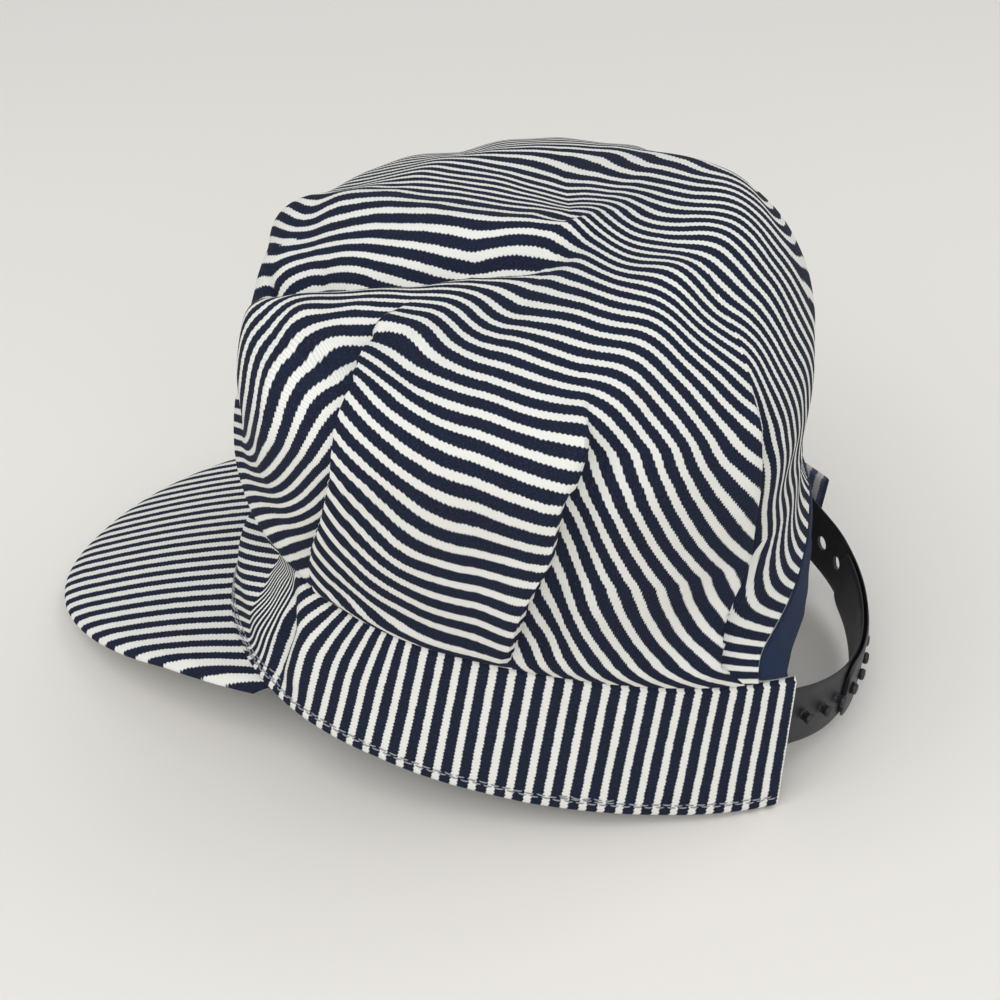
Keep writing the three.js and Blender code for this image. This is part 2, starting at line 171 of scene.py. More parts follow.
# The row's origin lies under the middle of the whole packed cap, so the shift from the oval's own
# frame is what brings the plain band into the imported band's box.
edge_angles = np.radians(np.linspace(*BAND_ENDS, 721))
edges = np.concatenate([band_plain(edge_angles, np.full(721, s)) for s in (0.0, 1.0)])
band_low, band_high = (np.array(corner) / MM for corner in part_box("band"))
SHIFT = np.array([
    (band_low[0] + band_high[0] - edges[:, 0].min() - edges[:, 0].max()) / 2,
    band_high[1] - edges[:, 1].max(),
    band_low[2] - edges[:, 2].min(),
])


def grid_quads(rows, columns, around, start):
    """Corner numbers of a grid's quads, rows upwards and columns round, facing out."""
    ids = start + np.arange(rows * columns).reshape(rows, columns)
    right = np.roll(ids, -1, 1) if around else ids[:, 1:]
    left = ids if around else ids[:, :-1]
    return np.stack([left[:-1], right[:-1], right[1:], left[1:]], -1).reshape(-1, 4)


def strip_quads(first, second):
    """Quads between two equally long rows of corner numbers."""
    return np.stack([first[:-1], first[1:], second[1:], second[:-1]], -1)


def rim_inset(edge, wall):
    """How far a wall's side draws in at a distance from its edge, so that the edge is a half round."""
    return wall / 2 * (1 - np.sqrt(1 - np.clip(1 - edge / (wall / 2), 0, 1) ** 2))


def build(name, points, faces, uv, uv_corners, materials, inside=(), sharp=50):
    """A smooth-shaded mesh object from points in mm, in the oval's frame, with a UV map called Cloth.

    The lists of faces that are named as inside take the second material."""
    mesh = bpy.data.meshes.new(name)
    mesh.from_pydata((points + SHIFT) * MM, [], [face for part in faces for face in part.tolist()])
    layer = mesh.uv_layers.new(name="Cloth")
    corners = np.concatenate([part.ravel() for part in uv_corners])
    layer.data.foreach_set("uv", uv[corners].astype(np.float32).ravel())
    for material in materials:
        mesh.materials.append(material)
    slots = [np.full(len(part), int(number in inside)) for number, part in enumerate(faces)]
    mesh.polygons.foreach_set("material_index", np.concatenate(slots).astype(np.int32))
    mesh.shade_smooth()
    mesh.set_sharp_from_angle(angle=math.radians(sharp))
    mesh.update()
    piece = bpy.data.objects.new(name, mesh)
    bpy.context.scene.collection.objects.link(piece)
    return piece


def slab(name, outer, inner, uv, materials, inside=(), turned=False):
    """A piece between an outer and an inner grid of points: the two sides, the rims below and above, and
    those at the first and the last column. Rows that run outwards and not up need the faces turned."""
    rows, count = outer.shape[:2]
    ids = np.arange(rows * count).reshape(rows, count)
    under = ids + rows * count
    faces = [
        grid_quads(rows, count, False, 0),
        grid_quads(rows, count, False, rows * count)[:, ::-1],
        strip_quads(under[0], ids[0]),
        strip_quads(ids[-1], under[-1]),
        strip_quads(ids[:, 0], under[:, 0]),
        strip_quads(under[:, -1], ids[:, -1]),
    ]
    if turned:
        faces = [part[:, ::-1] for part in faces]
    points = np.concatenate([outer.reshape(-1, 3), inner.reshape(-1, 3)])
    return build(name, points, faces, np.concatenate([uv.reshape(-1, 2)] * 2), faces, materials, inside)


def add(tree, kind, sockets=(), **settings):
    """A shader node with its settings, and its inputs linked to sockets or set to values."""
    made = tree.nodes.new(kind)
    for key, value in settings.items():
        setattr(made, key, value)
    for key, value in dict(sockets).items():
        if isinstance(value, bpy.types.NodeSocket):
            tree.links.new(value, made.inputs[key])
        else:
            made.inputs[key].default_value = value
    return made


def maths(tree, operation, *values):
    """The output of a Math node on up to three sockets or numbers."""
    return add(tree, "ShaderNodeMath", dict(enumerate(values)), operation=operation).outputs[0]


def mixed(tree, share, first, second):
    """The output of a colour Mix node."""
    sockets = {0: share, 6: first, 7: second}
    return add(tree, "ShaderNodeMix", sockets, data_type="RGBA").outputs[2]


def shader_group(name, inputs, outputs):
    """A shader node group with named sockets: (name, type, default) in and (name, type) out."""
    group = bpy.data.node_groups.new(name, "ShaderNodeTree")
    for label, kind, default in inputs:
        socket = group.interface.new_socket(label, in_out="INPUT", socket_type="NodeSocket" + kind)
        if default is not None:
            socket.default_value = default
    for label, kind in outputs:
        group.interface.new_socket(label, in_out="OUTPUT", socket_type="NodeSocket" + kind)
    return group, group.nodes.new("NodeGroupInput").outputs, group.nodes.new("NodeGroupOutput").inputs


def srgb(*levels, alpha=1.0):
    """A linear colour from three screen levels out of 255."""
    share = np.array(levels) / 255
    return (*np.where(share < 0.04045, share / 12.92, ((share + 0.055) / 1.055) ** 2.4), alpha)


# Twill weave: diagonal ribs and single yarns, in repeats of the stripe
twill, given, out = shader_group(
    "Twill weave",
    [("Place", "Vector", None), ("Ribs", "Float", 9.0), ("Slant", "Float", 1.0)],
    [("Rib", "Float"), ("Yarn", "Float"), ("Blotch", "Float")],
)
split = add(twill, "ShaderNodeSeparateXYZ", {0: given["Place"]}).outputs
diagonal = maths(twill, "ADD", split[0], maths(twill, "MULTIPLY", split[1], given["Slant"]))
rib = maths(twill, "PINGPONG", maths(twill, "MULTIPLY", diagonal, given["Ribs"]), 0.5)
twill.links.new(maths(twill, "MULTIPLY", rib, 2.0), out["Rib"])
tilted = add(twill, "ShaderNodeMapping", {0: given["Place"], 2: (0, 0, 0.8), 3: (5.0, 17.0, 1)})
yarn = add(twill, "ShaderNodeTexNoise", {"Vector": tilted.outputs[0], "Scale": 1.6, "Detail": 2.0})
twill.links.new(yarn.outputs["Fac"], out["Yarn"])
blotch = add(twill, "ShaderNodeTexNoise", {"Vector": given["Place"], "Scale": 0.9, "Detail": 3.0})
twill.links.new(blotch.outputs["Fac"], out["Blotch"])

# Hickory stripe: white warp bands on indigo, their edges stepped by the twill
stripes, given, out = shader_group(
    "Hickory stripe",
    [
        ("Place", "Vector", None),
        ("White share", "Float", 0.4),
        ("Indigo", "Color", srgb(25, 29, 46)),
        ("White", "Color", srgb(236, 235, 228)),
    ],
    [("Color", "Color"), ("Height", "Float"), ("White", "Float")],
)
split = add(stripes, "ShaderNodeSeparateXYZ", {0: given["Place"]}).outputs
steps = maths(stripes, "PINGPONG", maths(stripes, "MULTIPLY", split[0], 4.4), 0.5)
steps = maths(stripes, "MULTIPLY", maths(stripes, "SUBTRACT", steps, 0.25), 0.13)
wander = add(stripes, "ShaderNodeTexNoise", {"Vector": given["Place"], "Scale": 2.2, "Detail": 2.0})
wander = maths(stripes, "MULTIPLY", maths(stripes, "SUBTRACT", wander.outputs["Fac"], 0.5), 0.12)
phase = maths(stripes, "ADD", maths(stripes, "ADD", split[1], 0.5), maths(stripes, "ADD", steps, wander))
off = maths(stripes, "ABSOLUTE", maths(stripes, "SUBTRACT", maths(stripes, "FRACT", phase), 0.5))
edge = maths(stripes, "SUBTRACT", off, maths(stripes, "MULTIPLY", given["White share"], 0.5))
white = add(stripes, "ShaderNodeMapRange", {0: edge, 1: 0.022, 2: -0.022}).outputs[0]
weave = add(stripes, "ShaderNodeGroup", {"Place": given["Place"]}, node_tree=twill).outputs
speck = add(stripes, "ShaderNodeMapRange", {0: weave["Yarn"], 1: 0.52, 2: 0.75, 4: 0.55}).outputs[0]
indigo = mixed(stripes, speck, given["Indigo"], srgb(72, 82, 112))
cast = add(stripes, "ShaderNodeMapRange", {0: weave["Blotch"], 1: 0.4, 2: 0.65, 4: 0.4}).outputs[0]
indigo = mixed(stripes, cast, indigo, srgb(28, 40, 58))
shaded = maths(stripes, "MULTIPLY_ADD", weave["Rib"], 0.2, 0.84)
paled = mixed(stripes, maths(stripes, "MULTIPLY", weave["Yarn"], 0.35), given["White"], srgb(196, 198, 198))
cloth = mixed(stripes, white, indigo, paled)
shading = {0: 1.0, 6: cloth, 7: shaded}
dimmed = add(stripes, "ShaderNodeMix", shading, data_type="RGBA", blend_type="MULTIPLY")
stripes.links.new(dimmed.outputs[2], out["Color"])
ribbed = maths(stripes, "MULTIPLY", weave["Rib"], 0.5)
height = maths(stripes, "ADD", maths(stripes, "MULTIPLY", white, 0.8), ribbed)
stripes.links.new(maths(stripes, "MULTIPLY_ADD", weave["Yarn"], 0.3, height), out["Height"])
stripes.links.new(white, out["White"])


def denim(name, white_share=0.4, indigo=srgb(25, 29, 46), white=srgb(236, 235, 228)):
    """Striped denim: the hickory stripe on the piece's own UV map, matt, with the weave as bump."""
    material = bpy.data.materials.new(name)
    material.use_nodes = True
    tree = material.node_tree
    shader = tree.nodes["Principled BSDF"]
    place = add(tree, "ShaderNodeUVMap", uv_map="Cloth").outputs[0]
    sockets = {"Place": place, "White share": white_share, "Indigo": indigo, "White": white}
    pattern = add(tree, "ShaderNodeGroup", sockets, node_tree=stripes)
    raised = {"Height": pattern.outputs["Height"], "Strength": 0.5, "Distance": 0.0004}
    bump = add(tree, "ShaderNodeBump", raised)
    tree.links.new(pattern.outputs["Color"], shader.inputs["Base Color"])
    tree.links.new(bump.outputs[0], shader.inputs["Normal"])
    shader.inputs["Roughness"].default_value = 0.88
    shader.inputs["Specular IOR Level"].default_value = 0.12
    return material


striped = denim("striped denim")
reverse = denim("striped denim, wrong side", 0.5, srgb(96, 104, 128), srgb(206, 206, 200))

columns = np.linspace(*np.radians(BAND_ENDS), BAND_GRID["columns"])
shares = np.linspace(0, 1, BAND_GRID["rows"])
angle, share = np.meshgrid(columns, shares)
outer = band_face(angle, share)
# The hem is a rounded fold, and so is the top edge where it is sewn in
inset = rim_inset(np.minimum(share, 1 - share) * BAND_HEIGHT, BAND_WALL)
facing = normals(band_plain, angle, share)
inner = outer - facing * (BAND_WALL - inset)[..., None]
outer = outer - facing * inset[..., None]
arc = hem_arc(angle)
turn = np.degrees(angle)
ahead = np.interp(turn, (-20, 0, *BUCKLE_ENDS), (0, 1, 1, 0))
crease = np.interp(turn, *np.array(BUCKLE["crease"]).T)
lie = BUCKLE["below"] * np.minimum(share, crease) + BUCKLE["above"] * np.maximum(share - crease, 0)
hook = np.interp(turn, HOOK_ENDS, (0, 1, 1, 0)) * np.clip((share - HOOK_FROM) / (1 - HOOK_FROM), 0, 1) ** 2
slant = ahead * lie * BAND_HEIGHT - BUCKLE["hook"] * hook
uv = np.stack([share * BAND_HEIGHT, arc - FIRST_STRIPE + slant], -1) / REPEAT
band = slab("band_cloth", outer, inner, uv, [striped, reverse], inside=(1,))
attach(band, "root")
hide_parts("band")

# Crown
# One disc of striped denim, its fullness laid into pleats round the band. The top has sunk behind the
# front, so that a puff stands over a crease there. The back is cut out in an arch over the strap.
CROWN_WALL = 1.6
SEAM_LIFT = 0.005  # share of the height at which the cloth comes out of the band
ARCH = {"middle": 179, "half": 50, "height": 0.15, "power": 1.7}
TOP_CENTRE = 20  # mm behind the middle of the band
# Sections up the crown: heights at the front, sides and back, half sizes in plan, squareness
CROWN_COLUMNS = ("v", "z_front", "z_side", "z_back", "y_front", "y_back", "x_side", "y_mid", "power")
CROWN_SECTIONS = [
    (0.15, 88, 82, 64, -72, 93, 86, 8, 2.2),
    (0.32, 107, 106, 90, -70, 88, 91, 8, 2.3),
    (0.45, 123, 126, 112, -69, 89, 93, 8, 2.35),
    (0.56, 135, 139, 130, -66, 87, 86, 8, 2.3),
    (0.7, 141, 146, 149, -54, 77, 67, 9, 2.2),
    (0.84, 147, 148, 161, -36, 60, 43, 13, 2.1),
    (1.0, 152, 152, 152, 20, 20, 0, 20, 2),
]
# Pleats from their apex down to the band, in degrees and shares of the crown's height
PLEATS = [
    {"path": [(60, 0.72), (67, 0.6), (66.5, 0.42), (62, 0.28), (56.5, 0.13), (54, 0.03)]},
    {"path": [(106, 0.53), (102, 0.44), (101, 0.33), (97, 0.2), (93, 0.03)]},
    {"path": [(143, 0.51), (143, 0.4), (144, 0.27), (137, 0.18), (126, 0.06)]},
]
FAR_PLEATS = [
    {"path": [(-141, 0.55), (-143, 0.3), (-134, 0.06)]},
    {"path": [(-104, 0.55), (-100, 0.3), (-95, 0.02)]},
    {"path": [(-67, 0.66), (-66, 0.4), (-54, 0.03)]},
]
CROWN_FOLDS = [
    {"path": [(8, 0.56), (20, 0.735), (35, 0.83), (52, 0.905), (94, 0.94)], "half": 8, "push": -5},
    {"path": [(8, 0.56), (20, 0.735), (35, 0.83), (52, 0.905), (80, 0.93)], "half": 3, "push": -2.2},
    {"path": [(-12, 0.45), (-14, 0.7), (-9, 0.83), (4, 0.895), (26, 0.935), (55, 0.955), (90, 0.965)],
     "half": 12, "push": 4.2},
    {"path": PLEATS[0]["path"], "half": 9, "step": -2.4},
    {"path": [(56, 0.7), (58, 0.6), (57, 0.45), (54, 0.3)], "half": 7, "push": -1.0},
    {"path": [(50, 0.75), (61, 0.745), (72, 0.715)], "half": 5, "push": 1.2},
    {"path": [(60, 0.7), (58, 0.675), (56, 0.65)], "half": 4, "push": -1.6},
    {"path": PLEATS[1]["path"], "half": 9, "step": 3},
    {"path": [(109, 0.52), (106, 0.43), (105, 0.3), (100, 0.1)], "half": 4.5, "push": -2.2},
    {"path": PLEATS[2]["path"], "half": 8, "step": 2.4},
    {"path": [(146, 0.48), (147, 0.36), (147, 0.25)], "half": 4, "push": -1.8},
    {"path": [(106, 0.55), (117, 0.67), (133, 0.79)], "half": 8, "push": 3},
    {"path": [(64, 0.71), (73, 0.68), (78, 0.635), (89, 0.54)], "half": 3, "push": -1.1, "step": -0.3},
    {"path": [(36, 0.68), (45, 0.6), (47, 0.45), (42, 0.3)], "half": 4, "push": 1.2},
    {"path": [(12, 0.25), (28, 0.13), (42, 0.1)], "half": 6, "push": 2.5},
    {"path": FAR_PLEATS[2]["path"], "half": 8, "step": 2},
    {"path": FAR_PLEATS[1]["path"], "half": 9, "step": -2.4},
    {"path": FAR_PLEATS[0]["path"], "half": 8, "step": -2},
]
SEAM_FADE, TOP_FADE = (0, 0.08), (0.97, 1)  # heights over which the folds come in and go out
CROWN_UNEVEN = [{"lift": 0.9, "size": 45, "seed": 2}, {"lift": 0.35, "size": 16, "seed": 3}]
SEAM_BULGE = {"lift": 1.2, "at": 0.035, "half": 0.025}  # the cloth rolls over the seam
CROWN_ROWS = 150
CROWN_STEP = 0.85  # degrees between columns
NEAR_PANELS = 4  # from the middle of the front round the near side to the middle of the back
LIP = math.radians(0.22)  # half the width of the narrow face between a pleat's two sides
OVERLAP = math.radians(0.5)  # how far either side of a pleat runs on past its line, one over the other
OVERLAP_FOOT, OVERLAP_HEAD = (0.03, 0.1), 0.05  # heights over which it comes in, and goes out
INNER_ROWS = 3  # one row of the inner wall for so many of the outer
# White stripes counted outwards over the crown, from the one over the apex of the first pleat: a row for
# the start, the middle and the end of each panel between two pleats, a column for each height
STRIPE_HEIGHTS = (0, 0.15, 0.3, 0.45, 0.6, 0.7, 0.8, 0.9, 1)
STRIPE_CHART = [
    ("front", -4.0, -5.0, -6.2, -7.8, -9.6, -10.4, -10.9, -11.4, -12.5),
    ("ahead of pleat 1", 6.0, 3.2, -0.7, -2.4, -2.2, -2.3, -5.2, -9.3, -12.5),
    ("pleat 1, front side", 11.0, 9.2, 7.6, 5.2, 3.0, 1.8, -1.0, -6.9, -12.5),
    ("pleat 1, rear side", 19.0, 16.6, 13.6, 9.7, 5.2, 1.8, -1.2, -6.9, -12.5),
    ("between pleats 1 and 2", 16.3, 13.0, 9.6, 6.5, 2.7, 0.0, -3.4, -6.8, -12.5),
    ("pleat 2, front side", 16.0, 12.7, 9.5, 5.7, 1.0, -2.6, -5.5, -8.6, -12.5),
    ("pleat 2, rear side", 11.8, 9.8, 7.5, 5.2, 1.0, -2.6, -5.5, -8.6, -12.5),
    ("between pleats 2 and 3", 7.2, 5.0, 2.4, -0.1, -2.9, -5.3, -8.5, -11.4, -12.5),
    ("pleat 3, front side", 4.0, 1.1, -1.6, -3.8, -7.6, -10.5, -12.3, -14.6, -12.5),
    ("pleat 3, rear side", -1.5, -5.4, -4.9, -4.7, -7.6, -10.5, -12.3, -14.6, -12.5),
    ("behind pleat 3", -5.0, -9.2, -9.8, -11.9, -15.2, -15.8, -16.2, -17.6, -12.5),
    ("back", -13.0, -14.0, -15.5, -18.0, -20.0, -21.0, -21.0, -19.7, -12.5),
]
# Above the pleats one smooth curve joins these rows, which stand at these degrees
TOP_ROWS = {0: 0, 1: 33.5, 2: 67, 4: 87, 5: 107, 7: 122.5, 8: 138, 10: 159, 11: 180}
TOP_BLEND = (0.6, 0.78)  # heights over which that curve takes over from the panels' own
# The far side's counts are drawn in towards the middle line by a share, over these heights and over
# these degrees from the front and from the back
FAR_DRAWN = {"share": 0.55, "heights": (0.45, 0.8), "front": (0, 25), "back": (0, 80)}
# Lower down and away from the middle the far side's stripes are those of the flat cloth
FAR_EVEN = {"heights": (0.45, 0.8), "front": (10, 50), "back": (0, 30)}


def seam_section():
    """The crown's lowest section is the band's top edge."""
    front, back, side = (band_plain(np.array(a), np.array(1.0)) for a in (0.0, math.pi, math.pi / 2))
    return (0, front[2], side[2], back[2], front[1], back[1], side[0], side[1], BAND_TOP["power"])


SECTIONS = np.array([seam_section(), *CROWN_SECTIONS], float)


def smooth(places, rows, at):
    """A row of numbers for each place, joined by cubics whose slopes are those between the neighbours."""
    last = len(places) - 1
    low = np.clip(np.searchsorted(places, at, side="right") - 1, 0, last - 1)
    slopes = np.concatenate([
        (rows[1:2] - rows[:1]) / (places[1] - places[0]),
        (rows[2:] - rows[:-2]) / (places[2:] - places[:-2])[:, None],
        (rows[-1:] - rows[-2:-1]) / (places[-1] - places[-2]),
    ])
    span = (places[low + 1] - places[low])[..., None]
    t = (at - places[low])[..., None] / span
    start, end = 2 * t**3 - 3 * t**2 + 1, 3 * t**2 - 2 * t**3
    bend = (t**3 - 2 * t**2 + t) * slopes[low] + (t**3 - t**2) * slopes[low + 1]
    return start * rows[low] + end * rows[low + 1] + span * bend


def section_at(v):
    """Each column of the sections at heights v."""
    return dict(zip(CROWN_COLUMNS, np.moveaxis(smooth(SECTIONS[:, 0], SECTIONS, v), -1, 0)))


def crown_plain(angle, v):
    """The smooth crown: at each height a flattened oval whose ends rise or fall to their own heights."""
    v = np.clip(v, 0, 1)
    s = section_at(v)
    along, across = np.cos(angle), np.sin(angle)
    share = np.abs(along) ** (2 / s["power"])
    end = np.where(along > 0, s["y_front"], s["y_back"])
    end_height = np.where(along > 0, s["z_front"], s["z_back"])
    x = s["x_side"] * np.sign(across) * np.abs(across) ** (2 / s["power"])
    y = s["y_mid"] + (end - s["y_mid"]) * share
    return np.stack([x, y, s["z_side"] + (end_height - s["z_side"]) * share], -1)


def smoothstep(low, high, x):
    """0 below low and 1 above high, and 3 t^2 - 2 t^3 of the share t of the way between them."""
    t = np.clip((x - low) / (high - low), 0, 1)
    return t * t * (3 - 2 * t)


def crown_face(angle, v, laid=None):
    """The smooth crown lifted along its normals by its folds, which fade at the seam and at the top.

    laid is the angle at which the cloth counts as before or behind a pleat's line."""
    points = crown_plain(angle, v)
    fade = smoothstep(*SEAM_FADE, v) * (1 - smoothstep(*TOP_FADE, v))
    lift = fold_lift(CROWN_FOLDS, crown_plain, angle if laid is None else laid, points) * fade
    for wave in CROWN_UNEVEN:
        lift += wave["lift"] * ripple(points, wave["size"], wave["seed"]) * smoothstep(0, 0.1, v)
    lift += SEAM_BULGE["lift"] * np.exp(-(((v - SEAM_BULGE["at"]) / SEAM_BULGE["half"]) ** 2))
    return points + normals(crown_plain, angle, np.clip(v, 0.002, 0.985)) * lift[..., None]


def arch_low(angle):
    """Lowest share of the crown at an angle: the seam, or the flattened arch over the back."""
    off = np.abs(np.mod(np.degrees(angle), 360) - ARCH["middle"]) / ARCH["half"]
    rise = np.clip(1 - off ** ARCH["power"], 0, 1) ** (1 / ARCH["power"])
    return SEAM_LIFT + ARCH["height"] * rise


def rib_angle(path, v):
    """The angle of a pleat's line at a height, held beyond its ends, counted round to 360 degrees."""
    path = sorted((share, angle % 360) for angle, share in path)
    return np.radians(np.interp(v, [p[0] for p in path], [p[1] for p in path]))


ribs = [{"path": [(0, 0)]}, *PLEATS, {"path": [(180, 0)]}, *FAR_PLEATS, {"path": [(359.999, 0)]}]

panel, fraction = [], []
for number in range(len(ribs) - 1):
    ends = [np.degrees(rib_angle(ribs[n]["path"], 0.3)) for n in (number, number + 1)]
    count = max(int((ends[1] - ends[0]) / CROWN_STEP), 8)
    across = np.linspace(0, 1, count)
    # Either side of the back the columns crowd towards the arch's steep feet
    if number == NEAR_PANELS - 1:
        across = 1 - np.cos(across * math.pi / 2)
    if number == NEAR_PANELS:
        across = np.sin(across * math.pi / 2)
    panel.append(np.full(count, number))
    fraction.append(across)
panel, fraction = np.concatenate(panel), np.concatenate(fraction)
rising = np.linspace(0, 1, 400)
meridian = crown_plain(np.full(400, math.pi / 2), rising)
length = np.concatenate([[0], np.cumsum(np.linalg.norm(np.diff(meridian, axis=0), axis=1))])
even = np.interp(np.linspace(0, 1, CROWN_ROWS + 1)[:-1], length / length[-1], rising)[:, None]


def column_angles(v, overlap=0.0):
    """Angles of the columns at heights v: each panel shared out between the pleats on its two sides.

    Below a pleat's apex its two panels run past its line by the overlap, fading out at both ends."""
    lines = np.stack([rib_angle(rib["path"], v) for rib in ribs])
    tops = np.array([max(share for _, share in rib["path"]) for rib in ribs])
    over = smoothstep(*OVERLAP_FOOT, v) * (1 - smoothstep(-OVERLAP_HEAD, 0, v - tops[:, None, None]))
    lips = LIP - (LIP + overlap) * over
    columns = np.arange(len(panel))
    start, end = (lines[panel + n, :, columns] for n in (0, 1))
    gaps = [lips[panel + n, :, columns] for n in (0, 1)]
    return (start + gaps[0] + (end - start - gaps[0] - gaps[1]) * fraction[:, None]).T


low = np.zeros((1, len(panel)))
for _ in range(6):
    low = arch_low(column_angles(low))
v = low + (1 - low) * even
laid = column_angles(v)
angle = column_angles(v, OVERLAP)
outer = crown_face(angle, v, laid)
pole = crown_face(np.zeros(1), np.ones(1))

# Distance from the top's middle up the smooth crown, and direction there in plan
plain = crown_plain(angle, v)
middle = crown_plain(np.zeros((1, len(panel))), np.ones((1, len(panel))))
to_middle = np.linalg.norm(np.diff(np.concatenate([plain, middle]), axis=0), axis=-1)
reach = np.cumsum(to_middle[::-1], axis=0)[::-1]
heading = np.arctan2(plain[..., 0], TOP_CENTRE - plain[..., 1])


def stripe_number(v, angle):
    """The chart's count at a place: smooth up each row, and a parabola across each panel, or above the
    pleats a smooth curve right round. The far side's top is the near side's image about the middle line,
    drawn in a little, and below it the stripes lie as in the flat cloth: reach * sin(heading) / REPEAT."""
    rows = smooth(np.array(STRIPE_HEIGHTS), np.array([row[1:] for row in STRIPE_CHART]).T, v)
    is_near = panel < NEAR_PANELS
    near = np.where(is_near, panel, 2 * NEAR_PANELS - 1 - panel)
    t = np.where(is_near, fraction, 1 - fraction)
    places = (np.broadcast_to(3 * near + n, v.shape)[..., None] for n in range(3))
    first, mid, last = (np.take_along_axis(rows, place, -1)[..., 0] for place in places)
    low = first * (1 - t) * (1 - 2 * t) + mid * 4 * t * (1 - t) + last * t * (2 * t - 1)
    turn = np.degrees(np.arccos(np.clip(np.cos(angle), -1, 1)))
    share = smooth(np.array(list(TOP_ROWS.values()), float), np.eye(len(TOP_ROWS)), turn)
    high = (rows[..., list(TOP_ROWS)] * share).sum(-1)
    count = low + (high - low) * smoothstep(*TOP_BLEND, v)
    rear = (1 - np.cos(angle)) / 2
    centre = rows[..., 0] * (1 - rear) + rows[..., -1] * rear
    drawn, even = (smoothstep(*zone["front"], turn) * smoothstep(*zone["back"], 180 - turn)
                   for zone in (FAR_DRAWN, FAR_EVEN))
    drawn = drawn * FAR_DRAWN["share"] * smoothstep(*FAR_DRAWN["heights"], v)
    even = even * (1 - smoothstep(*FAR_EVEN["heights"], v))
    image = centre - (1 - drawn) * (count - centre)
    flat = STRIPE_CHART[0][-1] + reach * np.sin(heading) / REPEAT
    return np.where(is_near, count, image + (flat - image) * even)


uv = np.stack([reach * np.cos(heading) / REPEAT, stripe_number(v, angle)], -1)

rows, count = v.shape
wall = normals(crown_plain, angle, np.clip(v, 0.002, 0.985)) * CROWN_WALL
picked = np.append(np.arange(0, rows - 1, INNER_ROWS), rows - 1)
inner = (outer - wall)[picked]
inside = rows * count
pole_id = inside + len(picked) * count
ids = np.arange(rows * count).reshape(rows, count)
inner_ids = inside + np.arange(len(picked) * count).reshape(-1, count)
foot, inner_foot = (np.append(row, row[0]) for row in (ids[0], inner_ids[0]))
faces = [
    grid_quads(rows, count, True, 0),
    grid_quads(len(picked), count, True, inside)[:, ::-1],
    strip_quads(inner_foot, foot),
    np.stack([ids[-1], np.roll(ids[-1], -1), np.full(count, pole_id)], -1),
    np.stack([np.roll(inner_ids[-1], -1), inner_ids[-1], np.full(count, pole_id + 1)], -1),
]
# The narrow face of a pleat carries on the cloth of the side before it
corners = [part.copy() for part in faces]
lips = np.flatnonzero(np.diff(panel))
lips = lips[panel[lips] != NEAR_PANELS - 1]  # the middle of the back has no pleat
on_lip = np.isin(faces[0][:, 0] % count, lips)
corners[0][on_lip, 1] = corners[0][on_lip, 0]
corners[0][on_lip, 2] = corners[0][on_lip, 3]
points = np.concatenate([outer.reshape(-1, 3), inner.reshape(-1, 3), pole, pole - (0, 0, CROWN_WALL)])
middle_uv = np.array([[0, STRIPE_CHART[0][-1]]] * 2)
all_uv = np.concatenate([uv.reshape(-1, 2), uv[picked].reshape(-1, 2), middle_uv])
crown = build("crown_cloth", points, faces, all_uv, corners, [striped, reverse], inside=(1, 4))
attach(crown, "root")
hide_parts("crown")

# Peak
# Board covered with the same denim, its stripes from front to back. Its root is sewn under the band's
# lower edge from the near corner to the far one, and its rim is a plain rounded fold.
PEAK = {"near": 46, "far": -72, "reach": 100, "power": 2.25, "slope": 0.48, "swell": 2, "lap": 2}
# mm by which the rim stands higher towards its corners, the shares across between which the near value
# gives way to the far one, and the share next to a corner over which the rise ends
PEAK_RISE = {"near": 6, "far": 17, "power": 0.8, "change": (0.3, 0.7), "corner": 0.1}
PEAK_WALL = 2.6
PEAK_THIN = 0.4  # share of the wall that is left at the corners, where the board ends short of them
PEAK_DROP = 0.2  # mm under the level of the hem
PEAK_STRIPE = 1.2  # mm from the middle of a white stripe to the middle of the peak
PEAK_GRID = {"columns": 240, "rows": 60}
PEAK_ROLL = {"width": 7, "drop": 1.2}  # the rim turns down over the last few millimetres


def peak_face(across, out):
    """From a root on the hem's oval to a rim that is a flattened oval on the line between its corners,
    falling evenly outwards, with a slight swell between and the rim rolled down."""
    near_x, near_y = oval(HEM, np.radians(PEAK["near"]))
    far_x, far_y = oval(HEM, np.radians(PEAK["far"]))
    near, far = np.array([near_x, near_y]), np.array([far_x, far_y])
    root = np.stack(oval(HEM, np.radians(PEAK["near"] + (PEAK["far"] - PEAK["near"]) * across)), -1)
    root *= 1 - PEAK["lap"] / np.linalg.norm(root, axis=-1, keepdims=True)
    half = (near - far) / 2
    ahead = np.array([half[1], -half[0]])
    ahead *= PEAK["reach"] / np.linalg.norm(ahead)
    turn = across * math.pi
    power = 2 / PEAK["power"]
    wide = np.sign(np.cos(turn)) * np.abs(np.cos(turn)) ** power
    long = np.clip(np.sin(turn), 0, 1) ** power
    rim = (near + far) / 2 + half * wide[..., None] + ahead * long[..., None]
    length = np.linalg.norm(rim - root, axis=-1)
    plan = root + (rim - root) * out[..., None]
    height = PEAK["swell"] * np.sin(math.pi * out) * long - length * PEAK["slope"] * out - PEAK_DROP
    height -= PEAK_ROLL["drop"] * np.clip(1 - (1 - out) * length / PEAK_ROLL["width"], 0, 1) ** 2
    change = smoothstep(*PEAK_RISE["change"], across)
    rise = PEAK_RISE["near"] + (PEAK_RISE["far"] - PEAK_RISE["near"]) * change
    corner = np.clip(np.minimum(across, 1 - across) / PEAK_RISE["corner"], 0, 1)
    height += rise * out * (1 - long) ** PEAK_RISE["power"] * corner
    return lean(plan[..., 0], plan[..., 1], height), length


